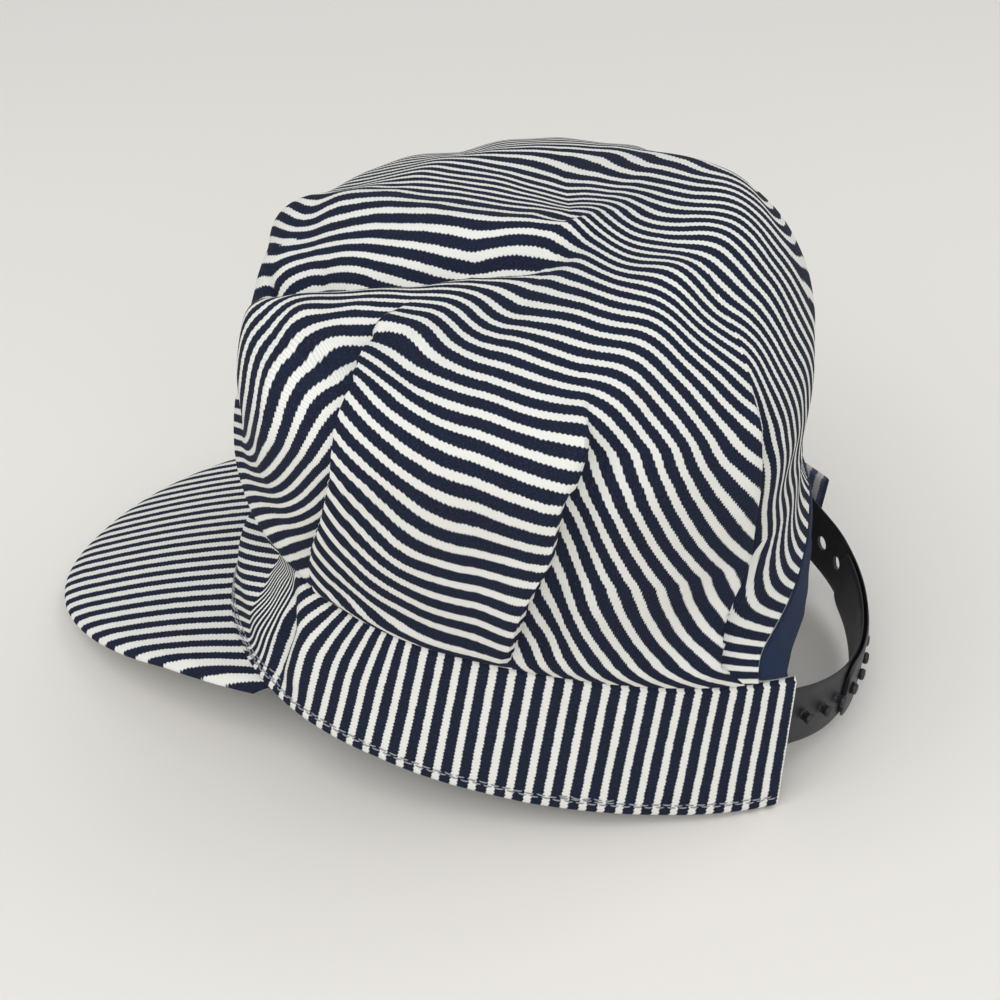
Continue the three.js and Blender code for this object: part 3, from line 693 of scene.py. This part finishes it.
across = np.linspace(0.01, 0.99, PEAK_GRID["columns"])
out = 1 - np.linspace(1, 0, PEAK_GRID["rows"]) ** 1.6
across, out = np.meshgrid(across, out)
top, length = peak_face(across, out)
wall = PEAK_WALL * (PEAK_THIN + (1 - PEAK_THIN) * np.sin(across * math.pi) ** 0.5)
inset = rim_inset((1 - out) * length, wall)
upright = np.array([0, 0, 1.0])
upper = top - inset[..., None] * upright
lower = top - (wall - inset)[..., None] * upright
uv = np.stack([top[..., 1], top[..., 0] + PEAK_STRIPE], -1) / REPEAT
# The peak's copy of the denim has wider white stripes than the crown and band: painted sheen that makes the
# peak look paler
peak = slab("peak_cloth", upper, lower, uv, [denim("striped denim, peak, painted sheen", 0.48)], turned=True)
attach(peak, "root")
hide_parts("peak")

# Arch binding
# Dark blue twill tape, sewn inside the arch's cut edge. Its free edge curls inwards at the top.
BINDING = {"width": 9, "wall": 1.5, "clearance": 0.5, "curl": 9.5, "foot": 0.006}
AROUND = 85  # mm per radian round the crown
UPWARDS = 170  # mm from the seam to the top
BINDING_GRID = {"columns": 180, "rows": 16}
BINDING_UNEVEN = {"lift": 0.5, "size": 9}  # mm, as for the band


def arch_place(turn, inside):
    """The arch as a flattened half oval on the crown, a little inside its edge, at a turn from its foot."""
    half = math.radians(ARCH["half"]) - inside / AROUND
    height = ARCH["height"] - inside / UPWARDS
    along, rise = np.cos(turn), np.clip(np.sin(turn), 0, 1)
    power = 2 / ARCH["power"]
    angle = math.radians(ARCH["middle"]) - half * np.sign(along) * np.abs(along) ** power
    return angle, SEAM_LIFT + height * rise**power


foot = math.asin((BINDING["foot"] / ARCH["height"]) ** (ARCH["power"] / 2))
turns = np.linspace(foot, math.pi - foot, BINDING_GRID["columns"])
insides = np.linspace(BINDING["width"], BINDING["clearance"], BINDING_GRID["rows"])
turn, inward = np.meshgrid(turns, insides)
angle, v = arch_place(turn, inward)
facing = normals(crown_plain, angle, np.clip(v, 0.002, 0.98))
curl = BINDING["curl"] * (inward / BINDING["width"]) ** 2 * np.sin(turn) ** 2
inset = rim_inset(np.minimum(inward - BINDING["clearance"], BINDING["width"] - inward), BINDING["wall"])
uneven = BINDING_UNEVEN["lift"] * ripple(crown_plain(angle, v), BINDING_UNEVEN["size"], 4)
tape = crown_face(angle, v) + facing * (uneven - curl)[..., None]
outer = tape - facing * inset[..., None]
inner = tape - facing * (BINDING["wall"] - inset)[..., None]
steps = np.linalg.norm(np.diff(tape, axis=1), axis=-1)
run = np.concatenate([np.zeros((len(insides), 1)), np.cumsum(steps, axis=1)], 1)
uv = np.stack([run, inward], -1) / REPEAT

tape_blue = bpy.data.materials.new("blue twill")
tape_blue.use_nodes = True
tree = tape_blue.node_tree
shader = tree.nodes["Principled BSDF"]
place = add(tree, "ShaderNodeUVMap", uv_map="Cloth").outputs[0]
weave = add(tree, "ShaderNodeGroup", {"Place": place}, node_tree=twill)
blotched = maths(tree, "MULTIPLY", weave.outputs["Blotch"], 0.6)
lit = maths(tree, "MULTIPLY_ADD", weave.outputs["Rib"], 0.35, blotched)
tree.links.new(mixed(tree, lit, srgb(17, 26, 44), srgb(36, 52, 82)), shader.inputs["Base Color"])
bump = add(tree, "ShaderNodeBump", {"Height": weave.outputs["Rib"], "Strength": 0.5, "Distance": 0.0003})
tree.links.new(bump.outputs[0], shader.inputs["Normal"])
shader.inputs["Roughness"].default_value = 0.85
shader.inputs["Specular IOR Level"].default_value = 0.25

binding = slab("binding_tape", outer, inner, uv, [tape_blue])
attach(binding, "root")
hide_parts("arch_binding")

# Snap strap
# Two halves of moulded dark plastic, rising to either end of the band: the near one with pegs, the
# far one with holes. The far one turns outwards over the near one, and seven of its holes are taken.
STRAP = {"width": 20.5, "wall": 1.2, "middle": 17.5, "near": 9.5, "far": 14, "tuck": 4, "root": 80}
LAP = 33.5  # mm from the middle of the back to either half's tip
CROSSING = (-58, -37.5)  # where the far half passes outwards over the near one
TIP = {"length": 5, "width": 0.6}
# Pegs, and the holes that mirror them: first and last count pitches from the middle of the back
PEG = {"pitch": 9.5, "radius": 1.9, "hole": 2.25, "first": -3, "last": 6}
UNDER_BAND = BAND_WALL + 0.3  # mm from the band's face in to the near half's
STRAP_GAP = 0.3
PEG_SUNK = 0.05  # mm by which a peg starts inside the plate
# Shares of a peg's radius, and mm of depth, which is negative outwards
PEG_OUTLINE = [(1.0, 0), (0.86, -0.3), (0.84, -1.6), (1.0, -2.1), (1.02, -2.6), (0.8, -3.2), (0, -3.4)]
PEG_SIDES = 24
HOLE_SIDE = 10  # corners on each quarter of a hole
STRAP_EDGE = {"inset": 0.45, "width": 1.2}  # mm by which the plate's rim is rounded, over so many
STRAP_STEP = 1.2  # mm between columns
PEG_HOLES = range(-PEG["first"], -PEG["last"] - 1, -1)


def strap_face(arc, up, depth):
    """A place on the strap: mm round the back of the hem, mm over the strap's middle, mm under the band.

    Its middle line rises as the square of the distance from the middle of the back."""
    turns = np.radians(np.arange(0, 361, 0.5))
    x, y = oval(HEM, turns)
    lengths = np.concatenate([[0], np.cumsum(np.hypot(np.diff(x), np.diff(y)))])
    lengths -= np.interp(math.pi, turns, lengths)
    angle = np.interp(-arc, lengths, turns)
    part = (arc / STRAP["root"]) ** 2
    rise = np.where(arc > 0, STRAP["near"], STRAP["far"])
    share = (STRAP["middle"] + rise * part + up) / BAND_HEIGHT
    away = depth + STRAP["tuck"] * (1 - part)
    return band_plain(angle, share) - normals(band_plain, angle, share) * away[..., None]


def half_width(arc, tip):
    """Half the strap's width, drawn in to a round tip."""
    left = np.clip(np.abs(arc - tip) / TIP["length"], 0, 1)
    return STRAP["width"] / 2 * (TIP["width"] + (1 - TIP["width"]) * np.sqrt(1 - (1 - left) ** 2))


def plate(ends, holes, depth_at):
    """Points and faces of one half: plain stretches as grids, and round each hole a ring that blends
    from the circle to a square of the strap, on the outer and the inner side, closed at every rim."""
    points, faces, start = [], [], 0
    cell = PEG["pitch"] / 2
    low, high = min(ends), max(ends)
    tip = ends[1]
    edges = [place * PEG["pitch"] for place in holes]
    spans = [(low, min(edges) - cell), (max(edges) + cell, high)] if edges else [(low, high)]
    turn = math.pi / 4 + np.linspace(0, 2 * math.pi, 4 * HOLE_SIDE + 1)
    square = np.stack([np.cos(turn), np.sin(turn)]) / np.maximum(np.abs(np.cos(turn)), np.abs(np.sin(turn)))

    def add_patch(arc, up, hole_row):
        nonlocal start
        depth = depth_at(arc)
        to_rim = (half_width(arc, tip) - np.abs(up)) / STRAP_EDGE["width"]
        inset = STRAP_EDGE["inset"] * np.clip(1 - to_rim, 0, 1) ** 2
        outside = strap_face(arc, up, depth + inset)
        inside = strap_face(arc, up, depth + STRAP["wall"] - inset)
        rows, count = arc.shape
        size = rows * count
        points.extend([outside.reshape(-1, 3), inside.reshape(-1, 3)])
        ids = start + np.arange(size).reshape(rows, count)
        faces.append(grid_quads(rows, count, False, start)[:, ::-1])
        faces.append(grid_quads(rows, count, False, start + size))
        if hole_row:
            faces.append(strip_quads(ids[0], size + ids[0]))
        start += 2 * size
        return ids, size

    ups = np.linspace(-1, 1, 21)
    for span in spans:
        if span[1] - span[0] < 0.01:
            continue
        count = max(int((span[1] - span[0]) / STRAP_STEP), 2)
        arc, up = np.meshgrid(np.linspace(*span, count), ups)
        ids, size = add_patch(arc, up * half_width(arc, tip), False)
        faces.append(strip_quads(size + ids[0], ids[0]))
        faces.append(strip_quads(ids[-1], size + ids[-1]))
        faces.append(strip_quads(ids[:, 0], size + ids[:, 0]))
        faces.append(strip_quads(size + ids[:, -1], ids[:, -1]))
    for middle in edges:
        blend = np.linspace(0, 1, 8)[:, None] ** 1.3
        ring_arc = middle + PEG["hole"] * np.cos(turn) * (1 - blend) + cell * square[0] * blend
        ring_up = PEG["hole"] * np.sin(turn) * (1 - blend) + blend * square[1] * half_width(ring_arc, tip)
        ids, size = add_patch(ring_arc, ring_up, True)
        faces.append(strip_quads(size + ids[-1], ids[-1]))
    return np.concatenate(points), faces


def pegs(places, depth):
    """Round pegs with a slightly wider, rounded head, each a lathed outline square to the strap."""
    outline = np.array(PEG_OUTLINE)
    turn = np.linspace(0, 2 * math.pi, PEG_SIDES + 1)
    points, faces = [], []
    for number, place in enumerate(places):
        radius = outline[:, :1] * PEG["radius"]
        arc = place * PEG["pitch"] + radius * np.cos(turn)
        up = radius * np.sin(turn)
        axis, level = np.full(arc.shape, place * PEG["pitch"]), np.full(arc.shape, depth)
        middle = strap_face(axis, 0 * up, depth + outline[:, 1:])
        spread = strap_face(arc, up, level) - strap_face(axis, 0 * up, level)
        points.append((middle + spread).reshape(-1, 3))
        rows, count = arc.shape
        faces.append(grid_quads(rows, count, False, number * rows * count)[:, ::-1])
    return np.concatenate(points), faces


def near_depth(arc):
    """The near half keeps to one depth under the band."""
    return np.full(arc.shape, UNDER_BAND)


def far_depth(arc):
    """The far half comes out by its wall and a gap where it crosses over the near one."""
    return UNDER_BAND - (STRAP["wall"] + STRAP_GAP) * smoothstep(*CROSSING, arc)


moulded = bpy.data.materials.new("dark moulded plastic")
moulded.use_nodes = True
tree = moulded.node_tree
shader = tree.nodes["Principled BSDF"]
place = add(tree, "ShaderNodeTexCoord").outputs["Object"]
grain = add(tree, "ShaderNodeTexNoise", {"Vector": place, "Scale": 1800.0, "Detail": 2.0}).outputs["Fac"]
worn = add(tree, "ShaderNodeTexNoise", {"Vector": place, "Scale": 90.0, "Detail": 4.0}).outputs["Fac"]
tree.links.new(mixed(tree, worn, srgb(15, 16, 21), srgb(27, 28, 35)), shader.inputs["Base Color"])
tree.links.new(maths(tree, "MULTIPLY_ADD", worn, 0.25, 0.38), shader.inputs["Roughness"])
bump = add(tree, "ShaderNodeBump", {"Height": grain, "Strength": 0.15, "Distance": 0.0001})
tree.links.new(bump.outputs[0], shader.inputs["Normal"])

near_points, near_faces = plate((STRAP["root"], -LAP), [], near_depth)
peg_points, peg_faces = pegs(range(PEG["first"], PEG["last"] + 1), UNDER_BAND + PEG_SUNK)
near_faces += [part + len(near_points) for part in peg_faces]
near_points = np.concatenate([near_points, peg_points])
far_points, far_faces = plate((-STRAP["root"], LAP), PEG_HOLES, far_depth)
for name, node, points, faces in [
    ("strap_near_half", "strap_pegs", near_points, near_faces),
    ("strap_far_half", "strap_holes", far_points, far_faces),
]:
    uv = points[:, :2] / REPEAT
    half = build(name, points, faces, uv, faces, [moulded], sharp=40)
    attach(half, "root")
    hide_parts(node)

# Stitches
# Grey thread, sewn by machine along the hem: a double line, a third one over the peak, and a short run of
# uneven stitches over them near the hem's near end.
THREAD = {"radius": 0.21, "length": 2.9, "gap": 0.35, "lift": 0.42}
THREAD_RINGS = 7
THREAD_SIDES = 6


def angle_at(arc):
    """Angles on the hem at distances round it from the middle of the back, the near side positive."""
    turns = np.radians(np.linspace(-180, 180, 7201))
    return np.interp(-np.asarray(arc, float), -hem_arc(turns), turns)


def hem_row(arc_from, arc_to, height, jitter, seed):
    """Starts and ends of the stitches of a line along the hem, at a height in mm that varies a little."""
    random = np.random.default_rng(seed)
    pitch = THREAD["length"] + THREAD["gap"]
    starts = np.arange(arc_from, arc_to, pitch)
    rise = height + random.uniform(-jitter, jitter, (2, len(starts)))
    ends = angle_at(starts + THREAD["length"])
    return (np.stack([angle_at(starts), rise[0] / BAND_HEIGHT], -1),
            np.stack([ends, rise[1] / BAND_HEIGHT], -1))


def thread_tubes(starts, ends):
    """Each stitch a tube between two places on the band, arched over the cloth, its ends drawn in."""
    t = np.linspace(0, 1, THREAD_RINGS)[:, None]
    places = starts[:, None] + (ends - starts)[:, None] * t
    angle, share = places[..., 0], places[..., 1]
    facing = normals(band_plain, angle, share)
    arch = THREAD["lift"] * np.sin(math.pi * t[:, 0]) ** 0.6 - THREAD["radius"]
    centre = band_face(angle, share) + facing * arch[:, None]
    along = np.gradient(centre, axis=1)
    along /= np.linalg.norm(along, axis=-1, keepdims=True)
    side = np.cross(along, facing)
    turn = np.linspace(0, 2 * math.pi, THREAD_SIDES + 1)[:-1]
    radius = THREAD["radius"] * np.sqrt(1 - 0.97 * np.abs(2 * t - 1) ** 4)
    ring = np.cos(turn)[:, None] * facing[..., None, :] + np.sin(turn)[:, None] * side[..., None, :]
    points = centre[..., None, :] + ring * radius[..., None]
    one = grid_quads(THREAD_RINGS, THREAD_SIDES, True, 0)
    offset = np.arange(len(starts)) * THREAD_RINGS * THREAD_SIDES
    return points.reshape(-1, 3), (one + offset[:, None, None]).reshape(-1, 4)


near_end, far_end = hem_arc(np.radians(BAND_ENDS[1])), hem_arc(np.radians(BAND_ENDS[0]))
corner_near, corner_far = hem_arc(np.radians(PEAK["near"])), hem_arc(np.radians(PEAK["far"]))
# From, to and height in mm, then how uneven the height is and the seed
rows_of = [
    hem_row(near_end + 0.8, far_end - 4, 3.5, 0.15, 1),
    hem_row(near_end + 2.2, far_end - 4, 4.3, 0.2, 2),
    hem_row(corner_near - 4, corner_far + 4, 6.0, 0.15, 3),
    hem_row(near_end + 48, near_end + 62, 4.9, 0.5, 4),
]
starts, ends = (np.concatenate([row[n] for row in rows_of]) for n in (0, 1))
points, quads = thread_tubes(starts, ends)

thread = bpy.data.materials.new("grey thread")
thread.use_nodes = True
shader = thread.node_tree.nodes["Principled BSDF"]
shader.inputs["Base Color"].default_value = srgb(138, 140, 144)
shader.inputs["Roughness"].default_value = 0.55

seams = build("grey_stitches", points, [quads], np.zeros((len(points), 2)), [quads], [thread])
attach(seams, "root")

# Camera, table and light
# The camera stands where the photograph's did: over the wearer's left side, a little to the front.
VIEW = {"azimuth": 98.64, "elevation": 33.9, "distance": 530.15, "focal": 1754.35}
VIEW_AT = np.array([0, 0.6, 58.32])
a, e = math.radians(VIEW["azimuth"]), math.radians(VIEW["elevation"])
back = np.array([math.sin(a) * math.cos(e), -math.cos(a) * math.cos(e), math.sin(e)])
eye = (VIEW_AT + SHIFT + back * VIEW["distance"]) * MM
lens = bpy.data.cameras.new("camera")
lens.sensor_width = 36
lens.lens = 36 * VIEW["focal"] / 1000
camera = bpy.data.objects.new("camera", lens)
bpy.context.scene.collection.objects.link(camera)
camera.location = eye
camera.rotation_euler = (math.pi / 2 - e, 0, a)
bpy.context.scene.camera = camera

floor_mesh = bpy.data.meshes.new("table")
floor_mesh.from_pydata([(-4, -4, 0), (4, -4, 0), (4, 4, 0), (-4, 4, 0)], [], [(0, 1, 2, 3)])
floor = bpy.data.objects.new("table", floor_mesh)
bpy.context.scene.collection.objects.link(floor)
paint = bpy.data.materials.new("table")
paint.use_nodes = True
paint.node_tree.nodes["Principled BSDF"].inputs["Base Color"].default_value = srgb(226, 222, 216)
paint.node_tree.nodes["Principled BSDF"].inputs["Roughness"].default_value = 0.7
floor_mesh.materials.append(paint)

world = bpy.context.scene.world or bpy.data.worlds.new("world")
bpy.context.scene.world = world
world.use_nodes = True
world.node_tree.nodes["Background"].inputs[0].default_value = srgb(235, 238, 240)
world.node_tree.nodes["Background"].inputs[1].default_value = 0.62
# Plain display colours, so that the pale and the dark cloth keep their own contrast
bpy.context.scene.view_settings.view_transform = "Standard"


def soft_light(name, place, size, power):
    """A square area light that looks at the cap's middle."""
    lamp = bpy.data.lights.new(name, "AREA")
    lamp.size = size
    lamp.energy = power
    light = bpy.data.objects.new(name, lamp)
    light.location = place
    aim = np.array([0, 0, 0.07]) - np.array(place)
    light.rotation_euler = (
        math.acos(-aim[2] / np.linalg.norm(aim)), 0, math.atan2(aim[1], aim[0]) - math.pi / 2
    )
    bpy.context.scene.collection.objects.link(light)


soft_light("window", (-0.5, 1.0, 1.6), 1.4, 8)
soft_light("ceiling", (0.9, -0.6, 1.6), 1.8, 17)
soft_light("fill", (1.6, 0.3, 0.8), 1.6, 12.5)
